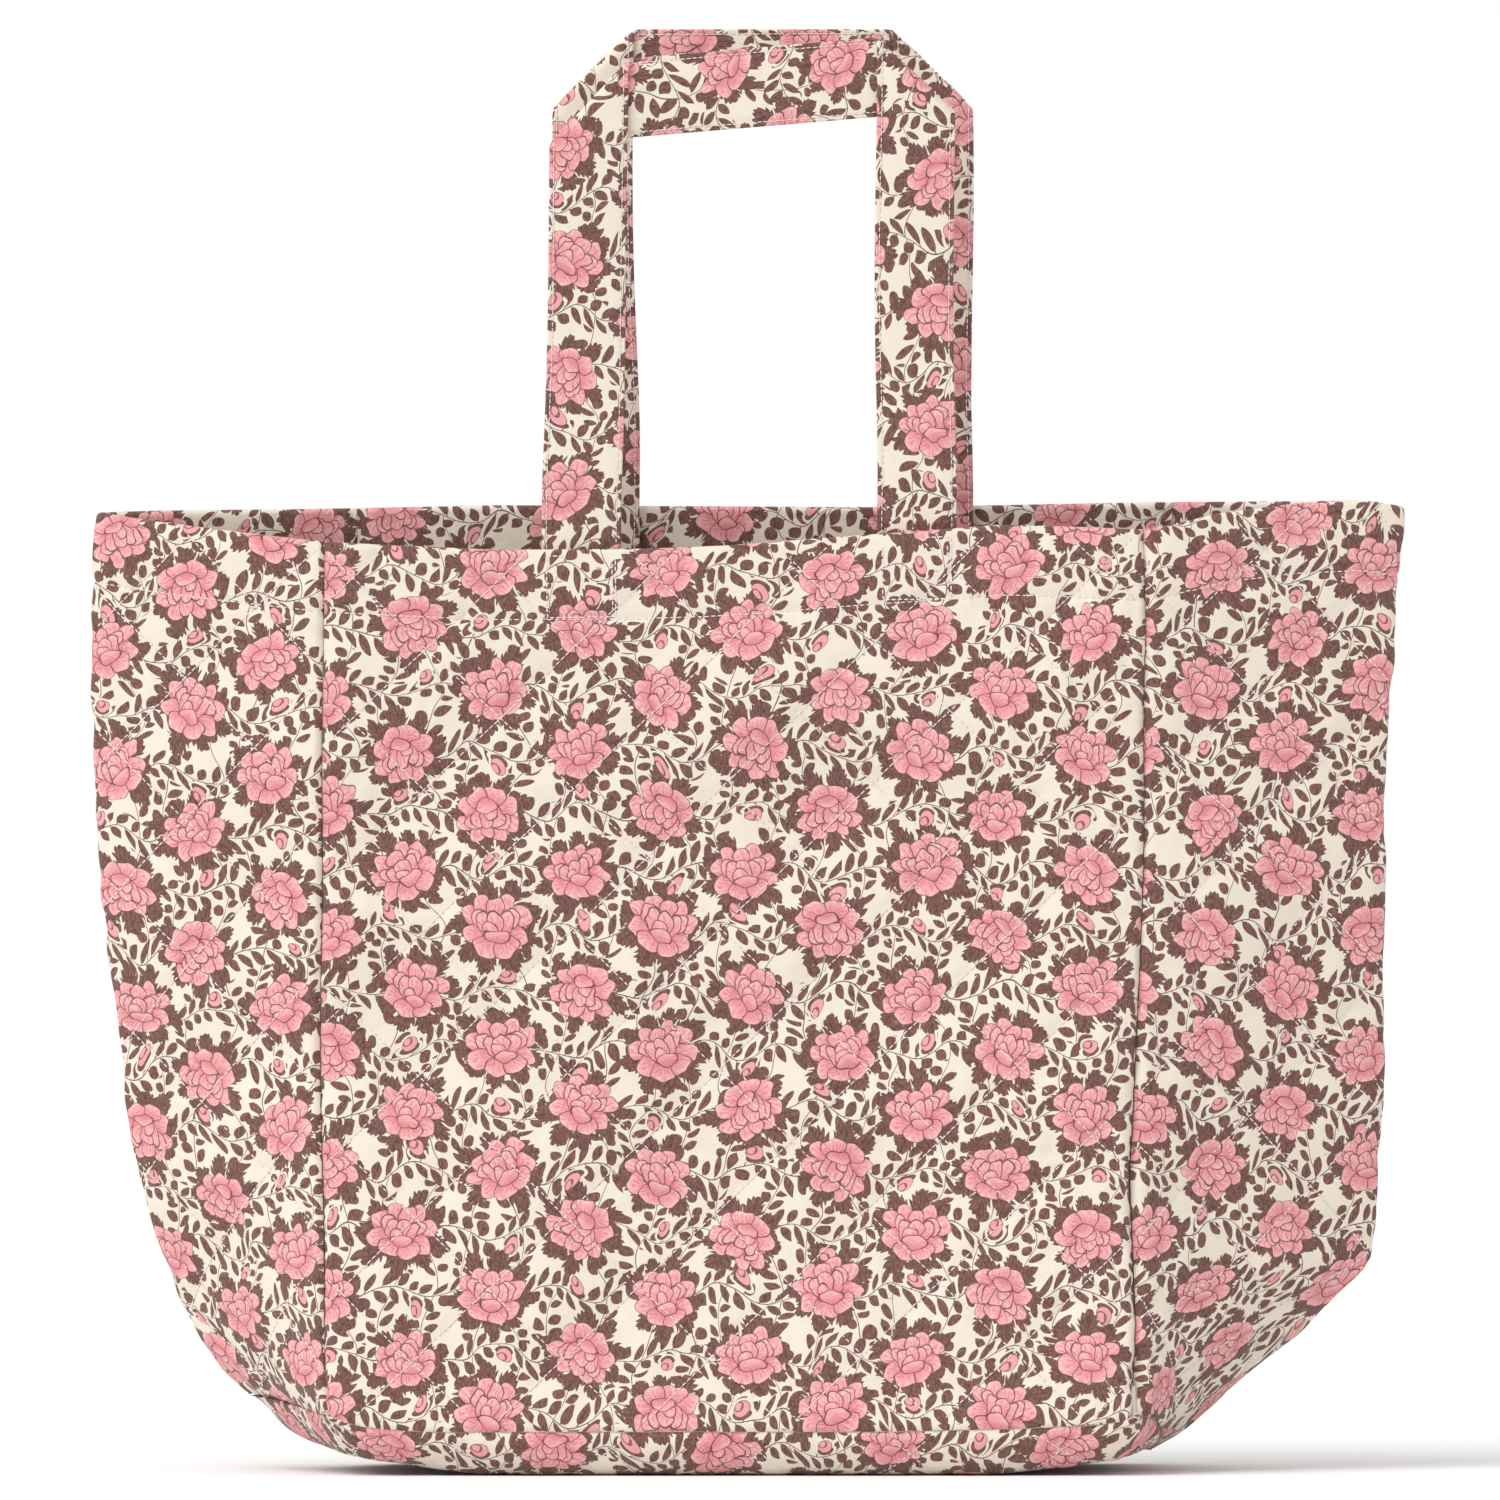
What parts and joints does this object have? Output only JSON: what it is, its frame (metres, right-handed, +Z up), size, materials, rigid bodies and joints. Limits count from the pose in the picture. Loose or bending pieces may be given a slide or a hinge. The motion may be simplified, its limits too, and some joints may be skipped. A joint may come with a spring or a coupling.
{
  "type": "quilted cotton knitting bag",
  "caption": "Large quilted floral cotton tote for knitting, with folding side gussets, a flat base, a hemmed mouth and wide self-fabric straps.",
  "frame": {"origin": "middle of the bag's base on the surface that it stands on", "axes": "+Z up, the front faces -Y, +X to the right as seen from the front"},
  "size_m": [0.6546, 0.234, 0.7235],
  "materials": {
    "print_cotton": "matt woven cotton printed with pink blossoms and brown leaves on cream",
    "wadding": "lofty matt wadding",
    "lining": "matt plain woven cotton",
    "thread": "twisted sewing thread with a slight sheen"
  },
  "bodies": {
    "base": {"base_outer": "print_cotton", "base_wadding": "wadding", "base_lining": "lining"},
    "front_half": {"front_panel_outer": "print_cotton", "front_panel_wadding": "wadding", "front_panel_lining": "lining", "left_gusset_front_outer": "print_cotton", "left_gusset_front_wadding": "wadding", "left_gusset_front_lining": "lining", "right_gusset_front_outer": "print_cotton", "right_gusset_front_wadding": "wadding", "right_gusset_front_lining": "lining", "front_hem_facing": "print_cotton", "left_gusset_front_facing": "print_cotton", "right_gusset_front_facing": "print_cotton", "front_strap_ends": "print_cotton", "front_hem_thread": "thread", "front_box_thread": "thread"},
    "back_half": {"back_panel_outer": "print_cotton", "back_panel_wadding": "wadding", "back_panel_lining": "lining", "left_gusset_back_outer": "print_cotton", "left_gusset_back_wadding": "wadding", "left_gusset_back_lining": "lining", "right_gusset_back_outer": "print_cotton", "right_gusset_back_wadding": "wadding", "right_gusset_back_lining": "lining", "back_hem_facing": "print_cotton", "left_gusset_back_facing": "print_cotton", "right_gusset_back_facing": "print_cotton", "back_strap_ends": "print_cotton", "back_hem_thread": "thread", "back_box_thread": "thread"},
    "front_strap": {"front_strap_outer": "print_cotton", "front_strap_wadding": "wadding", "front_strap_lining": "print_cotton", "front_strap_thread": "thread"},
    "back_strap": {"back_strap_outer": "print_cotton", "back_strap_wadding": "wadding", "back_strap_lining": "print_cotton", "back_strap_thread": "thread"}
  },
  "joints": [
    {"name": "front_panel_open", "type": "hinge", "parent": "base", "child": "front_half", "pos_m": [0, -0.117, 0.0232], "axis": [1, 0, 0], "range_deg": [0, 7]},
    {"name": "back_panel_open", "type": "hinge", "parent": "base", "child": "back_half", "pos_m": [0, 0.117, 0.0232], "axis": [-1, 0, 0], "range_deg": [0, 7]},
    {"name": "front_strap_swing", "type": "hinge", "parent": "front_half", "child": "front_strap", "pos_m": [0, -0.0358, 0.4675], "axis": [1, 0, 0], "range_deg": [-5, 160]},
    {"name": "back_strap_swing", "type": "hinge", "parent": "back_half", "child": "back_strap", "pos_m": [0, 0.0351, 0.4855], "axis": [-1, 0, 0], "range_deg": [-5, 160]}
  ]
}
